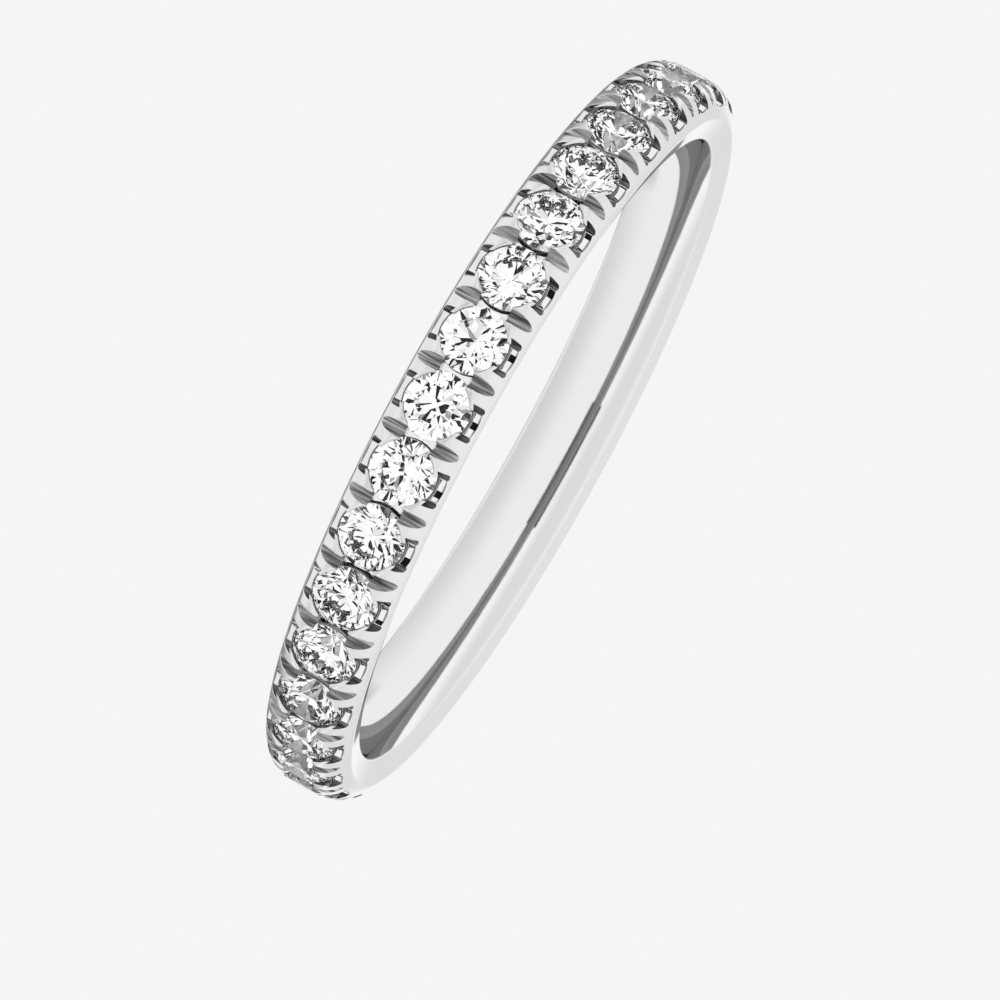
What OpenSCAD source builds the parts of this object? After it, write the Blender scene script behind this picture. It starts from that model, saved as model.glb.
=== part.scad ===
// Full eternity ring in polished white metal. Round brilliants stand in one
// row all the way round. Each sits in a seat cut in the band, between four
// small prongs that are left standing of the same metal.
// The ring lies on its side: its axis is Z and its lower face is at Z = 0.

/* [Finger] */
// Inside diameter at the narrowest, in the middle of the band
bore_d = 17.3; // [14:0.1:22]
// Length of the straight middle stretch of the bore
bore_flat = 0.3; // [0.2:0.05:0.6]
// Radius of the comfort-fit curve on either side of it
comfort_r = 3.1; // [2.4:0.1:6]

/* [Stones] */
// Diameter of each round brilliant at its girdle
stone_d = 1.75; // [1.5:0.05:2.2]
// Least gap between the girdles of two neighbours
stone_gap = 0.07; // [0.06:0.01:0.15]
// Clearance round each stone in its seat
seat_gap = 0.015; // [0.01:0.005:0.025]
// How much further round its own axis each stone is turned than the one before
stone_turn = 17; // [0:1:44]

/* [Band] */
// Metal left between the bore and the culet of a stone
floor_t = 0.45; // [0.35:0.05:0.9]
// Metal outside the girdle on each side of the band, at its widest
side_wall = 0.3; // [0.26:0.01:0.36]
// How much narrower each side is at the bore than at the widest
rim_taper = 0.115; // [0.06:0.005:0.14]
// Breadth of that tapered side rail, seen from the side
rim_w = 0.64; // [0.5:0.02:0.7]
// Radius of the polished edge between bore and side
rim_edge_r = 0.1; // [0.08:0.01:0.12]
// Radius of the shoulder between side and prong tops
shoulder_r = 0.55; // [0.4:0.05:0.6]

/* [Prongs] */
// Height of the prong tips above the middle of the girdle
prong_h = 0.27; // [0.2:0.01:0.34]
// Breadth of one prong, measured round the ring
prong_w = 0.31; // [0.26:0.01:0.34]
// How far each prong tip laps over the girdle
prong_lap = 0.06; // [0.02:0.01:0.1]
// Width of the V-shaped groove between the prongs of two neighbours, at their tops
groove_w = 0.3; // [0.24:0.02:0.36]
// Width of that groove's narrow floor
groove_floor_w = 0.05; // [0.03:0.01:0.1]
// Depth of its floor below the girdle
groove_drop = 0.05; // [0.01:0.01:0.1]
// Depth of the U-shaped scallop beside each stone, below the girdle
scallop_drop = 0.14; // [0.08:0.01:0.16]
// Radius of the scallop's shallow floor
scallop_floor_r = 0.72; // [0.6:0.02:1.2]
// Radius of the curve from that floor up each side
scallop_side_r = 0.32; // [0.2:0.02:0.36]
// Width of the low saddle between two stones, across the band
saddle_w = 0.88; // [0.7:0.02:1]
// Depth of that saddle below the middle of the girdle
saddle_drop = 0.04; // [0.035:0.005:0.06]

/* [Hidden] */
// A round brilliant's parts as shares of its diameter
table_share = 0.57;
crown_share = 0.15;
girdle_share = 0.03;
pavilion_share = 0.43;
// How far the lower girdle facets reach to the culet, as a share of the radius
lower_half_share = 0.77;

stone_r = stone_d / 2;
table_r = stone_r * table_share;
crown_h = stone_d * crown_share;
girdle_h = stone_d * girdle_share;
pavilion_h = stone_d * pavilion_share;

bore_r = bore_d / 2;
half_w = stone_r + side_wall;
band_w = 2 * half_w;
girdle_r = bore_r + floor_t + pavilion_h + girdle_h / 2;
prong_top_r = girdle_r + prong_h;
stone_count = floor(180 / asin((stone_d + stone_gap) / 2 / girdle_r));
pitch_angle = 360 / stone_count;
prong_pitch = 2 * PI * prong_top_r / stone_count;
scallop_w = prong_pitch - 2 * prong_w - groove_w;

seat_r = stone_r + seat_gap;
seat_ledge = girdle_h / 2 + seat_gap;
// The seat's cone runs past the culet by this much, and ends in a flat of this radius
culet_relief = 0.05;
culet_relief_r = 0.04;
// How far a cutter runs past the metal it cuts
overcut = 0.3;

metal = [0.86, 0.87, 0.88];
brilliant_white = [0.93, 0.96, 0.98];

function stone_name(i) = str("stone_", i < 10 ? "0" : "", i);

// Points of an arc about a centre, from one angle to another
function arc(c, r, from, to, steps) =
    [for (k = [0 : steps]) let (a = from + (to - from) * k / steps) c + r * [cos(a), sin(a)]];

function flip(points) = [for (k = [len(points) - 1 : -1 : 0]) [points[k].x, -points[k].y]];

// Half of the band's section, from the middle of the bore to the middle of the
// outside: x is the distance from the ring's axis, y the height above its middle.
function half_section() =
    let (
        flat_end = bore_flat / 2,
        rim_h = half_w - rim_taper,
        // The comfort curve ends where the edge's rounding begins
        comfort_c = [bore_r + comfort_r, flat_end],
        edge_y = rim_h - rim_edge_r,
        reach = (edge_y - flat_end) / (comfort_r - rim_edge_r),
        lean = asin(reach),
        edge_c = comfort_c + (comfort_r - rim_edge_r) * [-cos(lean), reach],
        shoulder_c = [prong_top_r - shoulder_r, half_w - shoulder_r]
    )
    concat(
        arc(comfort_c, comfort_r, 180, 180 - lean, 6),
        arc(edge_c, rim_edge_r, 180 - lean, 90 + atan(rim_taper / rim_w), 3),
        [[edge_c.x - rim_edge_r + rim_w, half_w]],
        arc(shoulder_c, shoulder_r, 90, 0, 6)
    );

module shank() {
    half = half_section();
    rotate_extrude($fn = 360)
        polygon(concat(half, flip(half)));
}

// Room for one stone, which points along +X with its girdle at the origin. Above
// the girdle it follows the crown, so that the prong tips lap over the stone.
module seat() {
    culet_end = -seat_ledge - pavilion_h - culet_relief;
    top = prong_h + overcut;
    tip_r = stone_r - prong_lap;
    tip_rise = (seat_r - tip_r) * crown_h / (stone_r - table_r);
    rotate([0, 90, 0])
        rotate_extrude($fn = 64)
            polygon([
                [0, culet_end],
                [culet_relief_r, culet_end],
                [seat_r, -seat_ledge],
                [seat_r, seat_ledge],
                [tip_r, seat_ledge + tip_rise],
                [tip_r, top],
                [0, top]
            ]);
}

// The scallop's section, with the middle of its floor at the origin, opening
// towards +X: a shallow arc, then a tighter one up to each upright side
function scallop_section() =
    let (
        side = scallop_w / 2,
        turn = asin((side - scallop_side_r) / (scallop_floor_r - scallop_side_r)),
        floor_c = [scallop_floor_r, 0],
        side_c = floor_c + (scallop_floor_r - scallop_side_r) * [-cos(turn), sin(turn)],
        rise = scallop_drop + prong_h + overcut
    )
    concat(
        [[rise, side]],
        arc(side_c, scallop_side_r, 90, 180 - turn, 3),
        arc(floor_c, scallop_floor_r, 180 - turn, 180 + turn, 4),
        arc([side_c.x, -side_c.y], scallop_side_r, 180 + turn, 270, 3),
        [[rise, -side]]
    );

// The groove's section in the same place, as wide as groove_w at the prong tops
function groove_section() =
    let (
        foot = groove_floor_w / 2,
        depth = groove_drop + prong_h,
        rise = depth + overcut,
        side = foot + (groove_w / 2 - foot) * rise / depth
    )
    [[0, foot], [0, -foot], [rise, -side], [rise, side]];

// A cutter right across the band
module slot_cutter(section) {
    run = band_w + 2 * overcut;
    translate([0, 0, -run / 2])
        linear_extrude(run)
            polygon(section);
}

// The low stretch between the two rows of prongs
module saddle_channel() {
    rotate_extrude($fn = 360)
        translate([girdle_r - saddle_drop, -saddle_w / 2])
            square([saddle_drop + prong_h + overcut, saddle_w]);
}

module band() {
    color(metal)
        translate([0, 0, half_w])
            difference() {
                shank();
                saddle_channel();
                for (i = [1 : stone_count])
                    rotate([0, 0, (i - 1) * pitch_angle])
                        translate([girdle_r, 0, 0]) {
                            seat();
                            translate([-scallop_drop, 0, 0])
                                slot_cutter(scallop_section());
                        }
                for (i = [1 : stone_count])
                    rotate([0, 0, (i - 0.5) * pitch_angle])
                        translate([girdle_r - groove_drop, 0, 0])
                            slot_cutter(groove_section());
            }
}

// A ring of points about Z
function circle_points(count, r, z, turn) =
    [for (k = [0 : count - 1]) [r * cos(turn + 360 * k / count), r * sin(turn + 360 * k / count), z]];

// The girdle's outline: every other point lies on the plane of its facet
function girdle_points(z_main, z_mid) =
    [for (k = [0 : 31]) [stone_r * cos(11.25 * k), stone_r * sin(11.25 * k), k % 2 == 0 ? z_main : z_mid]];

// A round brilliant with its table up and the middle of its girdle at Z = 0:
// table, 8 stars, 8 kites, 16 upper girdle facets, girdle, 16 lower ones, 8 mains
module brilliant() {
    girdle_top = girdle_h / 2;
    table_z = girdle_top + crown_h;
    culet_z = -girdle_top - pavilion_h;
    star_r = (table_r * cos(22.5) + stone_r) / 2;
    star_z = table_z - (star_r * cos(22.5) - table_r) * crown_h / (stone_r - table_r);
    lower_r = stone_r * (1 - lower_half_share);
    lower_z = culet_z + lower_r * cos(22.5) * pavilion_h / stone_r;
    bulge = stone_r * (1 - cos(11.25)) / cos(11.25);
    crown_mid = girdle_top - bulge * (star_z - girdle_top) / (stone_r - star_r);
    pavilion_mid = -girdle_top + bulge * (-girdle_top - lower_z) / (stone_r - lower_r);
    points = concat(
        circle_points(8, table_r, table_z, 0),
        circle_points(8, star_r, star_z, 22.5),
        girdle_points(girdle_top, crown_mid),
        girdle_points(-girdle_top, pavilion_mid),
        circle_points(8, lower_r, lower_z, 22.5),
        [[0, 0, culet_z]]
    );
    star = 8;
    top = 16;
    bottom = 48;
    lower = 80;
    culet = 88;
    faces = concat(
        [[for (k = [7 : -1 : 0]) k]],
        [for (k = [0 : 7]) [k, (k + 1) % 8, star + k]],
        [for (k = [0 : 7]) [k, star + k, top + 4 * k, star + (k + 7) % 8]],
        [for (k = [0 : 7]) [star + k, top + 4 * k + 2, top + 4 * k + 1, top + 4 * k]],
        [for (k = [0 : 7]) [star + k, top + (4 * k + 4) % 32, top + 4 * k + 3, top + 4 * k + 2]],
        [for (k = [0 : 31]) [top + k, top + (k + 1) % 32, bottom + (k + 1) % 32, bottom + k]],
        [for (k = [0 : 7]) [lower + k, bottom + 4 * k, bottom + 4 * k + 1, bottom + 4 * k + 2]],
        [for (k = [0 : 7]) [lower + k, bottom + 4 * k + 2, bottom + 4 * k + 3, bottom + (4 * k + 4) % 32]],
        [for (k = [0 : 7]) [culet, lower + (k + 7) % 8, bottom + 4 * k, lower + k]]
    );
    polyhedron(points, faces);
}

module stone(i) {
    color(brilliant_white)
        rotate([0, 0, (i - 1) * pitch_angle])
            translate([girdle_r, 0, half_w])
                rotate([0, 90, 0])
                    rotate([0, 0, i * stone_turn])
                        brilliant();
}

band();
for (i = [1 : stone_count])
    stone(i);
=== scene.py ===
import math

import bmesh
import bpy
from mathutils import Matrix, Vector


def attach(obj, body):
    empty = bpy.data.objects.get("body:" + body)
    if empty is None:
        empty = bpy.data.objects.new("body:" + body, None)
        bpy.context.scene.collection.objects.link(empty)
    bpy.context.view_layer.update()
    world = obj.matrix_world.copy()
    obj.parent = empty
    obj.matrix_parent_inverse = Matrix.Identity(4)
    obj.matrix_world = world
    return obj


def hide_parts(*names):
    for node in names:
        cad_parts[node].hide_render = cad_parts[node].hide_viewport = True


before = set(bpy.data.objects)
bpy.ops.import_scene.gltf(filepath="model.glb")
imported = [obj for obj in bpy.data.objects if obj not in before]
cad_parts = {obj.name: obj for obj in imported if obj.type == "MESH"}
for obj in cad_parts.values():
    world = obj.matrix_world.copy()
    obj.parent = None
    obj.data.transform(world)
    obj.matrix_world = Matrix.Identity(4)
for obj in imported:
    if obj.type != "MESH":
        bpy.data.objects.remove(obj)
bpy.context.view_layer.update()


# The band: one ring of white gold, turned with a comfort-fit bore, flat sides and
# wide rounded shoulders. Seats, scallops and grooves are then cut into its outside,
# which leaves four small prongs round every stone, and the whole is polished.

# Lengths are in millimetres, and a level is a distance from the ring's axis
MM = 0.001
STONE_COUNT = 34
PITCH = 2 * math.pi / STONE_COUNT
HALF_WIDTH = 1.175
BORE_RADIUS = 8.65
BORE_FLAT = 0.15
COMFORT_RADIUS = 3.1
EDGE_RADIUS = 0.1
RIM_TAPER = 0.115
RIM_BREADTH = 0.64
SHOULDER_RADIUS = 0.74
TOP_RADIUS = 10.1475

# The surfaces that get a finish of their own, and the open ends of one stone's share
RING, SEAT, SEAT_RIM, COLLAR, FLOOR, CORNER, GROOVE, SADDLE, CELL_END = range(9)


def arc(centre_x, centre_y, radius, start, end, steps):
    angles = (start + (end - start) * k / steps for k in range(steps + 1))
    return [(centre_x + radius * math.cos(a), centre_y + radius * math.sin(a)) for a in angles]


def band_section():
    """(level, height) points: comfort curve, edge, tapered rail and shoulder, then mirrored."""
    rim_half = HALF_WIDTH - RIM_TAPER
    comfort_x = BORE_RADIUS + COMFORT_RADIUS
    inner_radius = COMFORT_RADIUS - EDGE_RADIUS
    lean = math.asin((rim_half - EDGE_RADIUS - BORE_FLAT) / inner_radius)
    edge_x = comfort_x - inner_radius * math.cos(lean)
    rail_lean = math.atan(RIM_TAPER / RIM_BREADTH)
    shoulder_x = TOP_RADIUS - SHOULDER_RADIUS
    half = (
        arc(comfort_x, BORE_FLAT, COMFORT_RADIUS, math.pi, math.pi - lean, 16)
        + arc(edge_x, rim_half - EDGE_RADIUS, EDGE_RADIUS, math.pi - lean, math.pi / 2 + rail_lean, 6)[1:]
        + [(edge_x - EDGE_RADIUS + RIM_BREADTH, HALF_WIDTH)]
        + arc(shoulder_x, HALF_WIDTH - SHOULDER_RADIUS, SHOULDER_RADIUS, math.pi / 2, 0, 16)
    )
    return half + [(r, -z) for r, z in reversed(half)]


def new_solid(name, points, faces, surfaces):
    mesh = bpy.data.meshes.new(name)
    mesh.from_pydata([Vector(p) for p in points], [], faces)
    for _ in range(CELL_END + 1):
        mesh.materials.append(None)
    mesh.polygons.foreach_set("material_index", surfaces)
    shape = bmesh.new()
    shape.from_mesh(mesh)
    bmesh.ops.recalc_face_normals(shape, faces=shape.faces)
    shape.to_mesh(mesh)
    shape.free()
    solid = bpy.data.objects.new(name, mesh)
    bpy.context.collection.objects.link(solid)
    return solid


def swept_solid(name, section, place, steps, surfaces, end_surface):
    """A solid between place(point, 0) and place(point, 1), closed by flat ends."""
    count = len(section)
    points = [place(p, k / steps) for k in range(steps + 1) for p in section]
    faces = []
    for start in range(0, steps * count, count):
        for i in range(count):
            after = (i + 1) % count
            faces.append((start + i, start + after, start + count + after, start + count + i))
    faces += [tuple(reversed(range(count))), tuple(range(steps * count, (steps + 1) * count))]
    return new_solid(name, points, faces, surfaces * steps + [end_surface] * 2)


def around_ring(span):
    """Places a section so that it sweeps over that angle of the ring."""
    def place(point, share):
        turn = (share - 0.5) * span
        return (point[0] * math.cos(turn), point[0] * math.sin(turn), point[1])
    return place


# One stone's share of the ring is cut first, and then repeated all the way round
section = band_section()
cell = swept_solid("band cell", section, around_ring(PITCH), 10, [RING] * len(section), CELL_END)

# The low saddle between the two rows of prongs. Each cutter runs past the metal.
SADDLE_LEVEL = 9.79
SADDLE_HALF = 0.42
CUT_PAST = 0.4
CUT_TOP = TOP_RADIUS + CUT_PAST
CUT_SPAN = 1.4 * PITCH


def cut(solid, cutter):
    step = solid.modifiers.new("cut", "BOOLEAN")
    step.operation = "DIFFERENCE"
    step.solver = "EXACT"
    step.material_mode = "INDEX"
    step.object = cutter
    result = bpy.data.meshes.new_from_object(solid.evaluated_get(bpy.context.evaluated_depsgraph_get()))
    solid.modifiers.clear()
    solid.data = result
    bpy.data.objects.remove(cutter)


saddle = [
    (SADDLE_LEVEL, -SADDLE_HALF),
    (SADDLE_LEVEL, SADDLE_HALF),
    (CUT_TOP, SADDLE_HALF),
    (CUT_TOP, -SADDLE_HALF),
]
cut(cell, swept_solid("saddle cutter", saddle, around_ring(CUT_SPAN), 14, [SADDLE] * 4, SADDLE))

# The seat, cut with a bur: a cone for the pavilion with a rim darkened by painted shade,
# and a ledge for the girdle. The prong tips lap over the girdle and are domed above it.
GIRDLE_LEVEL = 9.8788
SEAT_RADIUS = 0.885
SEAT_LEDGE = 0.0413
SEAT_DEPTH = 0.83
SEAT_RIM_DEPTH = 0.1
SEAT_POINT_RADIUS = 0.04
PRONG_LAP = 0.075
CROWN_SLOPE = 0.698
TIP_RADIUS = 0.6
TIP_TURN = math.radians(30)
TIP_FLARE = 0.1


def turned_cutter(name, outline, surfaces, steps=64):
    """Turned about the stone's own axis from (level, radius) points."""
    turns = [2 * math.pi * k / steps for k in range(steps)]
    points = [(x, r * math.cos(turn), r * math.sin(turn)) for turn in turns for x, r in outline]
    count = len(outline)
    faces = []
    for k in range(steps):
        here = k * count
        there = (k + 1) % steps * count
        for i in range(count - 1):
            faces.append((here + i, here + i + 1, there + i + 1, there + i))
    faces += [tuple(k * count for k in range(steps)), tuple(k * count + count - 1 for k in range(steps))]
    return new_solid(name, points, faces, surfaces * steps + [surfaces[0], surfaces[-1]])


cone_share = (SEAT_DEPTH - SEAT_RIM_DEPTH) / (SEAT_DEPTH - SEAT_LEDGE)
tip = SEAT_RADIUS - PRONG_LAP
dome_middle = tip + TIP_RADIUS * math.sin(TIP_TURN)
dome = arc(TOP_RADIUS - TIP_RADIUS, dome_middle, TIP_RADIUS, -TIP_TURN, 0, 8)
seat = [
    (GIRDLE_LEVEL - SEAT_DEPTH, SEAT_POINT_RADIUS),
    (GIRDLE_LEVEL - SEAT_RIM_DEPTH, SEAT_POINT_RADIUS + (SEAT_RADIUS - SEAT_POINT_RADIUS) * cone_share),
    (GIRDLE_LEVEL - SEAT_LEDGE, SEAT_RADIUS),
    (GIRDLE_LEVEL + SEAT_LEDGE, SEAT_RADIUS),
    (GIRDLE_LEVEL + SEAT_LEDGE + PRONG_LAP * CROWN_SLOPE, tip),
] + dome + [(CUT_TOP, dome[-1][1] + TIP_FLARE)]
cut(cell, turned_cutter("seat cutter", seat, [SEAT] + [SEAT_RIM] * 4 + [RING] * (len(seat) - 6)))

# The thin collar that the scallops leave round each seat, cut down to the girdle
COLLAR_LEVEL = 9.885
COLLAR_RADIUS = 0.912
STEP_FOOT_HALF = 0.3
STEP_TOP_HALF = 0.42


def across_band(turn, fall):
    """Places a slot's outline across the band, its floor falling towards both sides."""
    spin = Matrix.Rotation(turn, 3, "Z")
    reach = HALF_WIDTH + CUT_PAST

    def place(point, share):
        z = (2 * share - 1) * reach
        return spin @ Vector((point[0] - fall * abs(z), point[1], z))
    return place


collar_step = [
    (COLLAR_LEVEL, STEP_FOOT_HALF),
    (COLLAR_LEVEL, -STEP_FOOT_HALF),
    (CUT_TOP, -STEP_TOP_HALF),
    (CUT_TOP, STEP_TOP_HALF),
]
cut(cell, swept_solid("collar step", collar_step, across_band(0, 0), 2, [COLLAR] * 4, COLLAR))

# The scallop in each side wall beside the stone: a shallow bright floor that dips
# into a round channel at each side, where the graver turned, and upright walls
SCALLOP_LEVEL = 9.81
SCALLOP_HALF = 0.49
SCALLOP_FLOOR_RADIUS = 0.8
SCALLOP_FALL = 0.07
CHANNEL_AT = 0.38
CHANNEL_RADIUS = 0.08
CHANNEL_RUN_IN = 0.09
CHANNEL_DEPTH = 0.075
# The bright floor ends a little way into each channel, where the corners' painted shade begins
BRIGHT_HALF = CHANNEL_AT - 0.7 * CHANNEL_RUN_IN


def scallop_outline():
    """(level, place along the ring) points, closer together in the channels."""
    floor = []
    steps = 34
    for k in range(2 * steps + 1):
        y = CHANNEL_AT * (k - steps) / steps
        from_channel = CHANNEL_AT - abs(y)
        if from_channel >= CHANNEL_RUN_IN and k % 3:
            continue
        run_in = max(0.0, 1 - from_channel / CHANNEL_RUN_IN)
        dip = CHANNEL_DEPTH * (1 - math.cos(math.pi * run_in)) / 2
        floor.append((SCALLOP_LEVEL + y ** 2 / (2 * SCALLOP_FLOOR_RADIUS) - dip, y))
    foot = floor[-1][0]
    side = arc(foot + CHANNEL_RADIUS, CHANNEL_AT, CHANNEL_RADIUS, math.pi, math.pi / 2, 6)[1:]
    side.append((CUT_TOP, SCALLOP_HALF))
    return [(x, -y) for x, y in reversed(side)] + floor + side


outline = scallop_outline()
# Channels and walls get the corners' painted shade; the floor between them stays bright
scallop_surfaces = [
    FLOOR if max(abs(a[1]), abs(b[1])) < BRIGHT_HALF else CORNER
    for a, b in zip(outline, outline[1:] + outline[:1])
]
scallop = swept_solid("scallop cutter", outline, across_band(0, SCALLOP_FALL), 2, scallop_surfaces, FLOOR)
collar = [(GIRDLE_LEVEL - 1, COLLAR_RADIUS), (CUT_TOP + CUT_PAST, COLLAR_RADIUS)]
cut(scallop, turned_cutter("collar", collar, [CORNER]))
cut(cell, scallop)

# The groove between the prongs of two neighbours, a parabola in section
GROOVE_LEVEL = 9.83
GROOVE_HALF = 0.18
GROOVE_FALL = 0.045


def groove_outline():
    """As wide as twice GROOVE_HALF at the prong tops."""
    depth = TOP_RADIUS - GROOVE_LEVEL
    steps = 8
    shares = [k / steps for k in range(-steps, steps + 1)]
    floor = [(GROOVE_LEVEL + depth * share ** 2, -GROOVE_HALF * share) for share in shares]
    flare = GROOVE_HALF * (1 + CUT_PAST / (2 * depth))
    return [(CUT_TOP, flare)] + floor + [(CUT_TOP, -flare)]


groove = groove_outline()
for side in (-1, 1):
    place = across_band(side * PITCH / 2, GROOVE_FALL)
    cut(cell, swept_solid("groove cutter", groove, place, 2, [GROOVE] * len(groove), GROOVE))

# Slivers are dissolved where the surface stays plain. The shares are then joined
# into the ring, and every cut edge is softened by polishing.
SLIVER_ANGLE = math.radians(0.3)
END_SLACK = 0.0001
WELD = 0.014
SHARP_ANGLE = math.radians(25)
EDGE_SOFTENING = 0.01

shape = bmesh.new()
shape.from_mesh(cell.data)
plain = {SADDLE, CELL_END}
bmesh.ops.dissolve_limit(
    shape, angle_limit=SLIVER_ANGLE, use_dissolve_boundaries=True, delimit={"MATERIAL"},
    verts=[v for v in shape.verts if {f.material_index for f in v.link_faces} <= plain],
    edges=[e for e in shape.edges if {f.material_index for f in e.link_faces} <= plain],
)


def at_cell_end(face):
    middle = face.calc_center_median()
    return abs(abs(math.atan2(middle.y, middle.x)) - PITCH / 2) < END_SLACK


bmesh.ops.delete(shape, geom=[f for f in shape.faces if at_cell_end(f)], context="FACES")
one_cell = list(shape.verts) + list(shape.edges) + list(shape.faces)
for k in range(1, STONE_COUNT):
    copy = bmesh.ops.duplicate(shape, geom=one_cell)["geom"]
    bmesh.ops.rotate(shape, cent=(0, 0, 0), matrix=Matrix.Rotation(k * PITCH, 3, "Z"),
                     verts=[g for g in copy if isinstance(g, bmesh.types.BMVert)])
bmesh.ops.remove_doubles(shape, verts=shape.verts, dist=WELD)
sharp = [e for e in shape.edges if len(e.link_faces) == 2 and e.calc_face_angle() > SHARP_ANGLE]
bmesh.ops.bevel(shape, geom=sharp, offset=EDGE_SOFTENING, offset_type="OFFSET", segments=2, profile=0.5,
                affect="EDGES", clamp_overlap=False, material=-1)
for face in shape.faces:
    face.smooth = True
bmesh.ops.scale(shape, vec=(MM, MM, MM), verts=shape.verts)
bmesh.ops.translate(shape, vec=(0, 0, HALF_WIDTH * MM), verts=shape.verts)
shape.to_mesh(cell.data)
shape.free()
band = cell
band.name = "polished_band"


def favour_broad_faces(mesh):
    """Shading normals that follow the broad faces, so only the softened edges turn."""
    normals = [Vector() for _ in mesh.vertices]
    for face in mesh.polygons:
        pull = face.normal * (face.area / MM ** 2) ** 2
        for corner in face.vertices:
            normals[corner] += pull
    mesh.normals_split_custom_set_from_vertices([n.normalized() for n in normals])


favour_broad_faces(band.data)


def node(tree, kind, **settings):
    made = tree.nodes.new(kind)
    for name, value in settings.items():
        setattr(made, name, value)
    return made


def feed(tree, socket, value):
    """Sets a socket to a number, or links it to another node's output."""
    if isinstance(value, (int, float)):
        socket.default_value = value
    else:
        tree.links.new(value, socket)


def fed_node(tree, kind, values, **settings):
    """The output of a node whose first inputs get the values in turn."""
    made = node(tree, kind, **settings)
    for socket, value in zip(made.inputs, values):
        feed(tree, socket, value)
    return made.outputs[0]


def maths(tree, operation, *values, clamp=False):
    return fed_node(tree, "ShaderNodeMath", values, operation=operation, use_clamp=clamp)


def mapped(tree, value, low, high, new_low, new_high):
    return fed_node(tree, "ShaderNodeMapRange", (value, low, high, new_low, new_high))


def noise(tree, point, scale, detail):
    made = node(tree, "ShaderNodeTexNoise")
    made.inputs["Detail"].default_value = detail
    feed(tree, made.inputs["Vector"], point)
    feed(tree, made.inputs["Scale"], scale)
    return made.outputs["Fac"]


def new_group(name, amounts, outputs):
    group = bpy.data.node_groups.new(name, "ShaderNodeTree")
    for socket, value in amounts.items():
        made = group.interface.new_socket(socket, in_out="INPUT", socket_type="NodeSocketFloat")
        made.default_value = value
    for socket in outputs:
        group.interface.new_socket(socket, in_out="OUTPUT", socket_type="NodeSocketFloat")
    return group


def use(tree, group):
    return node(tree, "ShaderNodeGroup", node_tree=group)


def place_on_ring_group():
    """Angles round the ring and from the nearest stone's middle, then distances in mm."""
    group = new_group("place on the ring", {}, ("Round", "From stone", "Out", "Level", "Height"))
    where = node(group, "ShaderNodeTexCoord")
    in_mm = node(group, "ShaderNodeVectorMath", operation="SCALE")
    in_mm.inputs["Scale"].default_value = 1 / MM
    feed(group, in_mm.inputs[0], where.outputs["Object"])
    parts = node(group, "ShaderNodeSeparateXYZ")
    feed(group, parts.inputs[0], in_mm.outputs[0])
    x, y, height = parts.outputs
    turn = maths(group, "ARCTAN2", y, x)
    from_stone = maths(group, "WRAP", turn, PITCH / 2, -PITCH / 2)
    squares = maths(group, "ADD", maths(group, "MULTIPLY", x, x), maths(group, "MULTIPLY", y, y))
    out = maths(group, "SQRT", squares)
    level = maths(group, "MULTIPLY", out, maths(group, "COSINE", from_stone))
    result = node(group, "NodeGroupOutput")
    for socket, value in zip(result.inputs, (turn, from_stone, out, level, height)):
        feed(group, socket, value)
    return group


place_on_ring = place_on_ring_group()

# How the marks are drawn out round the ring, and how fine the unevenness is
MARK_STRETCH = 1.2
WAVES_PER_MM = 1.4


def hand_finish_group():
    """Polishing marks that run round the ring, and a faint unevenness under them."""
    amounts = {"Smoothest": 0.04, "Roughest": 0.09, "Marks per mm": 12.0, "Marks": 0.3, "Waves": 0.7}
    group = new_group("hand finish", amounts, ("Roughness", "Height"))
    given = node(group, "NodeGroupInput").outputs
    result = node(group, "NodeGroupOutput").inputs
    spot = use(group, place_on_ring).outputs
    round_ring = maths(group, "MULTIPLY", spot["Round"], MARK_STRETCH)
    point = fed_node(group, "ShaderNodeCombineXYZ", (round_ring, spot["Out"], spot["Height"]))
    marks = noise(group, point, given["Marks per mm"], 4)
    where = node(group, "ShaderNodeTexCoord")
    waves = noise(group, where.outputs["Object"], WAVES_PER_MM / MM, 1)
    feed(group, result["Roughness"], mapped(group, marks, 0.3, 0.7, given["Smoothest"], given["Roughest"]))
    fine = maths(group, "MULTIPLY", marks, given["Marks"])
    feed(group, result["Height"], maths(group, "MULTIPLY_ADD", waves, given["Waves"], fine))
    return group


hand_finish = hand_finish_group()

# Across the band the streaks change only this much as fast as along it
STREAK_SQUEEZE = 0.08


def painted_reflection_streaks_group():
    """Painted reflection streaks along each cut, from side to side of the band."""
    amounts = {"Darkest": 0.2, "Lightest": 0.6, "Streaks per mm": 12.0}
    group = new_group("streaks of painted reflection", amounts, ("Tone",))
    given = node(group, "NodeGroupInput").outputs
    result = node(group, "NodeGroupOutput").inputs
    spot = use(group, place_on_ring).outputs
    along = maths(group, "MULTIPLY", spot["Round"], GIRDLE_LEVEL)
    across = maths(group, "MULTIPLY", spot["Height"], STREAK_SQUEEZE)
    point = fed_node(group, "ShaderNodeCombineXYZ", (along, spot["Out"], across))
    streaks = noise(group, point, given["Streaks per mm"], 1)
    feed(group, result["Tone"], mapped(group, streaks, 0.35, 0.65, given["Darkest"], given["Lightest"]))
    return group


painted_reflection_streaks = painted_reflection_streaks_group()


def bumped(tree, height, depth, normal=None):
    """The normal of a surface that stands out by height times depth."""
    bump = node(tree, "ShaderNodeBump")
    bump.inputs["Distance"].default_value = depth
    feed(tree, bump.inputs["Height"], height)
    if normal is not None:
        feed(tree, bump.inputs["Normal"], normal)
    return bump.outputs["Normal"]


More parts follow.
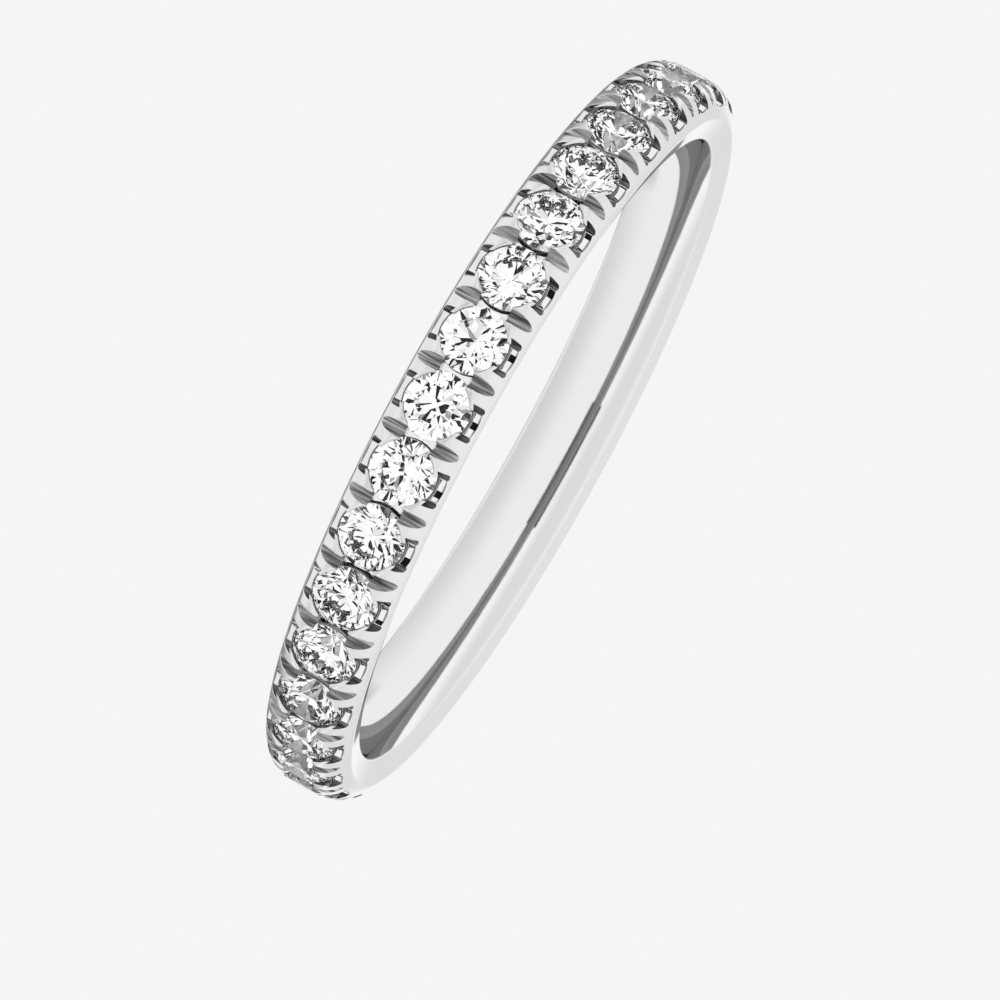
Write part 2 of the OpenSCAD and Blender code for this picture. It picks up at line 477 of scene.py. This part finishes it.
def gold_finish(name, tone, softening, relief, metallic=1.0, streaks=None, hollow=None, **amounts):
    """White gold with its own tone, which on some surfaces is painted shade, edge softening and hand finish.
    Streaks are the darkest and lightest tone of painted reflection streaks, and hollow is the radius of a
    dished floor."""
    made = bpy.data.materials.new(name)
    made.use_nodes = True
    tree = made.node_tree
    shader = tree.nodes["Principled BSDF"]
    shader.inputs["Base Color"].default_value = (tone, tone, tone, 1)
    shader.inputs["Metallic"].default_value = metallic
    # Streaks are painted reflections in the base colour
    if streaks:
        painted_streaks = use(tree, painted_reflection_streaks)
        painted_streaks.inputs["Darkest"].default_value, painted_streaks.inputs["Lightest"].default_value = streaks
        feed(tree, shader.inputs["Base Color"], painted_streaks.outputs["Tone"])
    soft_edge = node(tree, "ShaderNodeBevel", samples=6)
    soft_edge.inputs["Radius"].default_value = softening * MM
    normal = soft_edge.outputs[0]
    if hollow:
        from_stone = use(tree, place_on_ring).outputs["From stone"]
        squared = maths(tree, "MULTIPLY", from_stone, from_stone)
        normal = bumped(tree, maths(tree, "MULTIPLY", squared, hollow ** 2 / 2), MM, normal)
    finish = use(tree, hand_finish)
    for socket, value in amounts.items():
        finish.inputs[socket].default_value = value
    feed(tree, shader.inputs["Roughness"], finish.outputs["Roughness"])
    feed(tree, shader.inputs["Normal"], bumped(tree, finish.outputs["Height"], relief * MM, normal))
    return made


FLOOR_TONE = 0.95
polished = gold_finish("polished white gold", 0.95, 0.1, 0.0006, Smoothest=0.03, Roughest=0.07)
bright_cut = gold_finish("bright-cut scallops", FLOOR_TONE, 0.012, 0.0006, hollow=SCALLOP_LEVEL,
                         Smoothest=0.03, Roughest=0.06)
bur_cut = gold_finish("seats as the bur left them", 0.98, 0.012, 0.001, Smoothest=0.3, Roughest=0.5)
# The seat rims get a dark tone that is painted shade
seat_rim_painted_shade = gold_finish("seat rims darkened with painted shade", 0.12, 0.012, 0.002, Smoothest=0.2, Roughest=0.35)
# The thin collars get a darker tone that is painted shade
collar_painted_shade = gold_finish("thin collars darkened with painted shade", 0.4, 0.012, 0.002, Smoothest=0.2, Roughest=0.35)
# The grooves get a darker tone that is painted shade, with painted reflection streaks
groove_painted_shade = gold_finish("grooves with painted shade and painted reflection streaks", 0.42, 0.012, 0.004, metallic=0.3,
                         streaks=(0.12, 0.8), Smoothest=0.25, Roughest=0.4, Marks=1.0)
# The scallop corners get a dark tone that is painted shade, with painted reflection streaks
corner_painted_shade = gold_finish("scallop corners as the graver left them", 0.16, 0.012, 0.004, metallic=0.3,
                         streaks=(0.02, 0.3), Smoothest=0.2, Roughest=0.4, Marks=1.0)

# A thin line of painted shade is drawn where each bright floor runs out at the side of the band
FLOOR_RUN_OUT = 1.043
PAINTED_SHADE_LINE_TONE = 0.3

tree = bright_cut.node_tree
height = use(tree, place_on_ring).outputs["Height"]
on_floor = maths(tree, "COMPARE", height, HALF_WIDTH, FLOOR_RUN_OUT)
tone = maths(tree, "MULTIPLY_ADD", on_floor, FLOOR_TONE - PAINTED_SHADE_LINE_TONE, PAINTED_SHADE_LINE_TONE)
feed(tree, tree.nodes["Principled BSDF"].inputs["Base Color"], tone)

# Seat rims, collars, grooves and scallop corners get materials with painted shade
finishes = {
    RING: polished, SEAT: bur_cut, SEAT_RIM: seat_rim_painted_shade, COLLAR: collar_painted_shade, FLOOR: bright_cut,
    CORNER: corner_painted_shade, GROOVE: groove_painted_shade, SADDLE: polished, CELL_END: polished,
}
for surface, finish in finishes.items():
    band.data.materials[surface] = finish
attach(band, "root")
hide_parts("band")


# The stones: thirty-four round brilliants cut from diamond, each with a dull bruted
# girdle. Each is dropped into its seat and held by four prong tips over its girdle.
# A dark crescent of painted shade is put in the stones' colour where the metal close round the girdle would
# show through the stone's edge.

DIAMOND_IOR = 2.42
SURFACE_TINT = 0.1
GIRDLE_HALF = 0.026
GIRDLE_ROUGHNESS = 0.3
GRAINS_PER_MM = 40
GRAIN_DEPTH = 0.003
CRESCENT_FROM = GIRDLE_LEVEL - 0.1
CRESCENT_TO = GIRDLE_LEVEL + 0.022
CRESCENT_FADE = 0.01
CRESCENT_DEPTH = 0.97


def fade(tree, value, start, end):
    """0 up to start, then an even change to 1 at end."""
    return maths(tree, "MULTIPLY", maths(tree, "SUBTRACT", value, start), 1 / (end - start), clamp=True)


brilliant = bpy.data.materials.new("brilliant")
brilliant.use_nodes = True
tree = brilliant.node_tree
shader = tree.nodes["Principled BSDF"]
shader.inputs["Base Color"].default_value = (1, 1, 1, 1)
shader.inputs["Roughness"].default_value = 0.0
shader.inputs["IOR"].default_value = DIAMOND_IOR
shader.inputs["Transmission Weight"].default_value = 1.0
shader.inputs["Specular Tint"].default_value = (SURFACE_TINT, SURFACE_TINT, SURFACE_TINT, 1)
level = use(tree, place_on_ring).outputs["Level"]
# Painted shade: the stones' colour darkens in a crescent band round the girdle level
painted_crescent = maths(tree, "MULTIPLY", fade(tree, level, CRESCENT_FROM, CRESCENT_FROM + CRESCENT_FADE),
                 fade(tree, level, CRESCENT_TO, CRESCENT_TO - CRESCENT_FADE))
feed(tree, shader.inputs["Base Color"], maths(tree, "MULTIPLY_ADD", painted_crescent, -CRESCENT_DEPTH, 1.0))
off_middle = maths(tree, "ABSOLUTE", maths(tree, "SUBTRACT", level, GIRDLE_LEVEL))
girdle = maths(tree, "LESS_THAN", off_middle, GIRDLE_HALF)
feed(tree, shader.inputs["Roughness"], maths(tree, "MULTIPLY", girdle, GIRDLE_ROUGHNESS))
where = node(tree, "ShaderNodeTexCoord")
grain = maths(tree, "MULTIPLY", girdle, noise(tree, where.outputs["Object"], GRAINS_PER_MM / MM, 2))
feed(tree, shader.inputs["Normal"], bumped(tree, grain, GRAIN_DEPTH * MM))
for k in range(1, STONE_COUNT + 1):
    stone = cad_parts[f"stone_{k:02d}"]
    for slot in stone.material_slots:
        slot.material = brilliant
    for face in stone.data.polygons:
        face.use_smooth = False


# The floor, the light and the camera: a pale paper floor in an even white studio.
# The polished metal and the stones mirror the studio's tones, the gap low behind
# the table and the camera's own lens.

# Lengths in this section are in metres, apart from the camera's sensor
PALE = 0.913
FLOOR_SIZE = 2.4
FLOOR_DROP = 0.00002

bpy.ops.mesh.primitive_plane_add(size=FLOOR_SIZE, location=(0, 0, -FLOOR_DROP))
floor = bpy.context.object
floor.name = "floor"
for ray in ("diffuse", "glossy", "transmission", "volume_scatter", "shadow"):
    setattr(floor, "visible_" + ray, False)
paper = bpy.data.materials.new("pale floor")
paper.use_nodes = True
tree = paper.node_tree
tree.nodes.clear()
glow = node(tree, "ShaderNodeEmission")
glow.inputs["Color"].default_value = (PALE, PALE, PALE, 1)
feed(tree, node(tree, "ShaderNodeOutputMaterial").inputs["Surface"], glow.outputs[0])
floor.data.materials.append(paper)

# The ring's tilt, its roll in the picture and its turn, then the framing in pixels
ELEVATION = math.radians(9.69)
ROLL = math.radians(118.70)
TURN = math.radians(14.576)
DISTANCE = 0.3327
PIXELS_PER_METRE = 354.66 / 0.00885
PICTURE = 1000
CENTRE_PIXEL = (502.16, 430.98)
SENSOR = 36

# What the metal mirrors: the studio's tones as (sine of the elevation, tone), the
# gap behind the table, the lens, and a loss of light each time metal mirrors metal
STUDIO_TONES = [(-1, 0.8), (-0.85, 0.85), (-0.64, 0.67), (-0.17, 0.88), (0.05, 0.95), (0.2, 0.74), (1, 0.86)]
GAP_FROM = -0.65
GAP_TO = -0.28
GAP_TONE = 0.3
LENS_HALF = 0.4
LENS_FROM = -0.095
LENS_TO = 0.06
LENS_TONE = 0.01
SECOND_MIRRORING = 0.33
THIRD_MIRRORING = 0.22

# What the stones mirror inside: patches as (from, tone), calmer to the sides, and
# the shade of the viewer's head
PATCH_TONES = [(0, 0.01), (0.395, 0.35), (0.41, 0.8), (0.44, 0.98), (0.53, 1.08)]
PATCH_SCALE = 8.0
SIDE_FROM = 0.75
SIDE_TO = 1.5833
SIDE_CALM = 0.75
SIDE_TONE = 0.95
HEAD_HALF = 0.12
HEAD_FROM = 0.05
HEAD_TO = 0.29
HEAD_TONE = 0.4

world = bpy.data.worlds.new("studio")
bpy.context.scene.world = world
world.use_nodes = True
tree = world.node_tree
tree.nodes.clear()


def between(value, low, high, soft):
    """1 where value lies between low and high, fading over soft outside them."""
    return maths(tree, "MULTIPLY", fade(tree, value, low - soft, low), fade(tree, value, high + soft, high))


def tones(value, stops, interpolation):
    """Grey that follows the value, by stops of (value, tone) in rising order."""
    made = node(tree, "ShaderNodeValToRGB")
    made.color_ramp.interpolation = interpolation
    elements = made.color_ramp.elements
    for k, (position, tone) in enumerate(stops):
        stop = elements[k] if k < 2 else elements.new(position)
        stop.position = position
        stop.color = (tone, tone, tone, 1)
    feed(tree, made.inputs[0], value)
    return made.outputs[0]


def mix(share, first, second):
    made = node(tree, "ShaderNodeMix", data_type="FLOAT")
    for socket, value in zip((made.inputs[0], made.inputs[2], made.inputs[3]), (share, first, second)):
        feed(tree, socket, value)
    return made.outputs[0]


where = node(tree, "ShaderNodeTexCoord")
facing = node(tree, "ShaderNodeMapping")
facing.inputs["Rotation"].default_value = (0, 0, -TURN)
feed(tree, facing.inputs["Vector"], where.outputs["Generated"])
parts = node(tree, "ShaderNodeSeparateXYZ")
feed(tree, parts.inputs[0], facing.outputs[0])
to_right, to_back, height = parts.outputs
azimuth = maths(tree, "ARCTAN2", to_right, maths(tree, "MULTIPLY", to_back, -1.0))
elevation = maths(tree, "ARCSINE", height)

stops = [(0.5 + 0.5 * sine, tone) for sine, tone in STUDIO_TONES]
studio = tones(maths(tree, "MULTIPLY_ADD", height, 0.5, 0.5), stops, "EASE")
behind = fade(tree, to_back, 1 / 3, 2 / 3)
gap = maths(tree, "MULTIPLY", behind, between(height, GAP_FROM, GAP_TO, 0.06))
studio = mix(gap, studio, GAP_TONE)
lens = maths(tree, "MULTIPLY", between(azimuth, -LENS_HALF, LENS_HALF, 0.01),
             between(elevation, LENS_FROM, LENS_TO, 0.01))
studio = mix(lens, studio, LENS_TONE)

path = node(tree, "ShaderNodeLightPath")
second = maths(tree, "GREATER_THAN", path.outputs["Glossy Depth"], 1.5)
third = maths(tree, "GREATER_THAN", path.outputs["Glossy Depth"], 2.5)
studio = maths(tree, "MULTIPLY", studio, mix(third, mix(second, 1.0, SECOND_MIRRORING), THIRD_MIRRORING))

patches = tones(noise(tree, facing.outputs[0], PATCH_SCALE, 1), PATCH_TONES, "CONSTANT")
sideways = fade(tree, maths(tree, "ABSOLUTE", azimuth), SIDE_FROM, SIDE_TO)
calm = mix(maths(tree, "MULTIPLY", sideways, SIDE_CALM), patches, SIDE_TONE)
head = maths(tree, "MULTIPLY", between(azimuth, -HEAD_HALF, HEAD_HALF, 0.02),
             between(elevation, HEAD_FROM, HEAD_TO, 0.02))
sparkle = mix(head, calm, HEAD_TONE)

through_stone = maths(tree, "GREATER_THAN", path.outputs["Transmission Depth"], 0.5)
light = mix(through_stone, studio, sparkle)
light = mix(path.outputs["Is Camera Ray"], light, PALE)
back = node(tree, "ShaderNodeBackground")
feed(tree, back.inputs["Color"], light)
feed(tree, node(tree, "ShaderNodeOutputWorld").inputs["Surface"], back.outputs[0])

camera_data = bpy.data.cameras.new("camera")
camera = bpy.data.objects.new("camera", camera_data)
bpy.context.collection.objects.link(camera)
bpy.context.scene.camera = camera
target = Vector((0, 0, HALF_WIDTH * MM))
turned = Matrix.Rotation(TURN, 3, "Z")
towards = turned @ Vector((0, -math.cos(ELEVATION), math.sin(ELEVATION)))
level_right = turned @ Vector((1, 0, 0))
level_up = towards.cross(level_right)
right = math.cos(ROLL) * level_right + math.sin(ROLL) * level_up
up = -math.sin(ROLL) * level_right + math.cos(ROLL) * level_up
pose = Matrix((right, up, towards)).transposed().to_4x4()
pose.translation = target + towards * DISTANCE
camera.matrix_world = pose
camera_data.sensor_width = SENSOR
camera_data.lens = PIXELS_PER_METRE * DISTANCE / PICTURE * SENSOR
camera_data.shift_x = (PICTURE / 2 - CENTRE_PIXEL[0]) / PICTURE
camera_data.shift_y = (CENTRE_PIXEL[1] - PICTURE / 2) / PICTURE
camera_data.clip_start = 0.01
camera_data.clip_end = 10

scene = bpy.context.scene
scene.view_settings.view_transform = "Standard"
scene.cycles.max_bounces = 24
scene.cycles.transmission_bounces = 24
scene.cycles.glossy_bounces = 12
scene.cycles.caustics_reflective = True
scene.cycles.caustics_refractive = True
